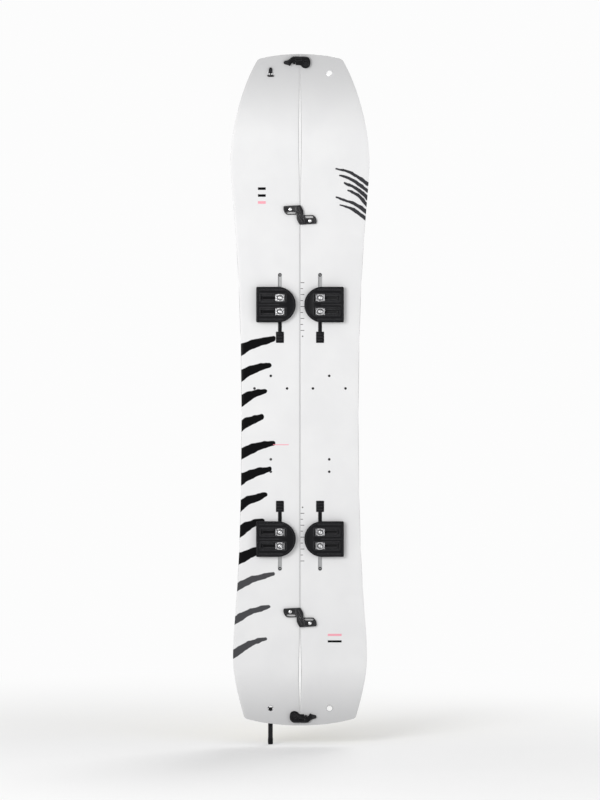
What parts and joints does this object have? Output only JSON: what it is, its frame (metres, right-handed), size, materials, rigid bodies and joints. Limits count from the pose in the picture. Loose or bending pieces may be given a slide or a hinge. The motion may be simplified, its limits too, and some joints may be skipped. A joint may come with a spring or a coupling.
{
  "type": "splitboard with one climbing skin",
  "caption": "Snowboard split lengthwise into touring skis, joined by seam hooks and end clips, with channel-mounted binding pucks and a plush climbing skin under the left ski.",
  "frame": {"origin": "bottom centre of the bounding box: on the seam, level with the low end of the skin's pull strap", "axes": "+Z along the board from tail to nose, +X to the right as seen on the topsheet, the topsheet faces -Y and the base faces +Y. Shown standing on its tail, as pictured"},
  "size_m": [0.321, 0.0644, 1.5853],
  "materials": {
    "topsheet": "semi-gloss white sheet printed with abstract dark strokes",
    "wood_core": "laminated wood, sealed at the sidewalls",
    "base_sheet": "smooth sintered black plastic with printed end panels",
    "edge_steel": "ground steel",
    "channel_metal": "satin",
    "black_plastic": "moulded, fine grain",
    "black_aluminium": "black anodised, satin",
    "stainless": "bright stainless",
    "skin_plush": "short woven plush, nap towards the tail",
    "black_webbing": "flat woven webbing"
  },
  "bodies": {
    "left_ski": {"left_wood_core": "wood_core", "left_base_sheet": "base_sheet", "left_steel_edge": "edge_steel", "left_topsheet": "topsheet", "front_left_channel": "channel_metal", "front_left_channel_cover": "black_plastic", "front_left_hook": "black_aluminium", "front_left_hook_screw": "stainless", "rear_left_channel": "channel_metal", "rear_left_channel_cover": "black_plastic", "rear_left_hook": "black_aluminium", "rear_left_hook_screw": "stainless", "tail_clip_pivot_bolt": "black_aluminium", "nose_clip_post": "stainless", "climbing_skin": "skin_plush", "skin_tail_webbing": "black_webbing", "skin_tip_plate": "black_plastic", "skin_tip_hook": "black_plastic"},
    "right_ski": {"right_wood_core": "wood_core", "right_base_sheet": "base_sheet", "right_steel_edge": "edge_steel", "right_topsheet": "topsheet", "front_right_channel": "channel_metal", "front_right_channel_cover": "black_plastic", "front_right_hook": "black_aluminium", "front_right_hook_screw": "stainless", "rear_right_channel": "channel_metal", "rear_right_channel_cover": "black_plastic", "rear_right_hook": "black_aluminium", "rear_right_hook_screw": "stainless", "nose_clip_pivot_bolt": "black_aluminium", "tail_clip_post": "stainless"},
    "front_left_binding_puck": {"front_left_puck": "black_plastic", "front_left_nut_plate": "stainless", "front_left_washer_1": "stainless", "front_left_washer_2": "stainless", "front_left_puck_screw_1": "stainless", "front_left_puck_screw_2": "stainless"},
    "front_right_binding_puck": {"front_right_puck": "black_plastic", "front_right_nut_plate": "stainless", "front_right_washer_1": "stainless", "front_right_washer_2": "stainless", "front_right_puck_screw_1": "stainless", "front_right_puck_screw_2": "stainless"},
    "rear_left_binding_puck": {"rear_left_puck": "black_plastic", "rear_left_nut_plate": "stainless", "rear_left_washer_1": "stainless", "rear_left_washer_2": "stainless", "rear_left_puck_screw_1": "stainless", "rear_left_puck_screw_2": "stainless"},
    "rear_right_binding_puck": {"rear_right_puck": "black_plastic", "rear_right_nut_plate": "stainless", "rear_right_washer_1": "stainless", "rear_right_washer_2": "stainless", "rear_right_puck_screw_1": "stainless", "rear_right_puck_screw_2": "stainless"},
    "nose_clip": {"nose_clip_lever": "black_plastic"},
    "tail_clip": {"tail_clip_lever": "black_plastic"},
    "skin_tail_catch": {"skin_tail_hook": "stainless", "skin_pull_strap": "black_webbing"}
  },
  "joints": [
    {"name": "ski_parting_slide", "type": "slide", "parent": "left_ski", "child": "right_ski", "axis": [0.4472, 0, -0.8944], "range_m": [0, 0.045], "stiffness_N_per_m": 500, "springref_m": -0.1},
    {"name": "nose_clip_turn", "type": "hinge", "parent": "right_ski", "child": "nose_clip", "pos_m": [0.0135, -0.02105, 1.56633], "axis": [0, 0.9509, 0.3095], "range_deg": [-1, 145]},
    {"name": "tail_clip_turn", "type": "hinge", "parent": "left_ski", "child": "tail_clip", "pos_m": [-0.0135, -0.0034, 0.06433], "axis": [0, 0.9348, -0.3553], "range_deg": [-1, 145]},
    {"name": "front_left_puck_slide", "type": "slide", "parent": "left_ski", "child": "front_left_binding_puck", "axis": [0, 0, 1], "range_m": [-0.015, 0.05], "stiffness_N_per_m": 3000},
    {"name": "front_right_puck_slide", "type": "slide", "parent": "right_ski", "child": "front_right_binding_puck", "axis": [0, 0, 1], "range_m": [-0.0155, 0.0505], "stiffness_N_per_m": 3000},
    {"name": "rear_left_puck_slide", "type": "slide", "parent": "left_ski", "child": "rear_left_binding_puck", "axis": [0, 0, -1], "range_m": [-0.015, 0.05], "stiffness_N_per_m": 3000},
    {"name": "rear_right_puck_slide", "type": "slide", "parent": "right_ski", "child": "rear_right_binding_puck", "axis": [0, 0, -1], "range_m": [-0.0155, 0.0505], "stiffness_N_per_m": 3000},
    {"name": "skin_tail_hook_lift", "type": "hinge", "parent": "left_ski", "child": "skin_tail_catch", "pos_m": [-0.068, 0.02347, 0.1169], "axis": [1, 0, 0], "range_deg": [0, 110]}
  ],
  "couplings": [
    {"joint": "nose_clip_turn", "follows": "ski_parting_slide", "rad_per_m": 56},
    {"joint": "tail_clip_turn", "follows": "ski_parting_slide", "rad_per_m": 56},
    {"joint": "front_right_puck_slide", "follows": "front_left_puck_slide", "ratio": 1},
    {"joint": "rear_right_puck_slide", "follows": "rear_left_puck_slide", "ratio": 1}
  ]
}
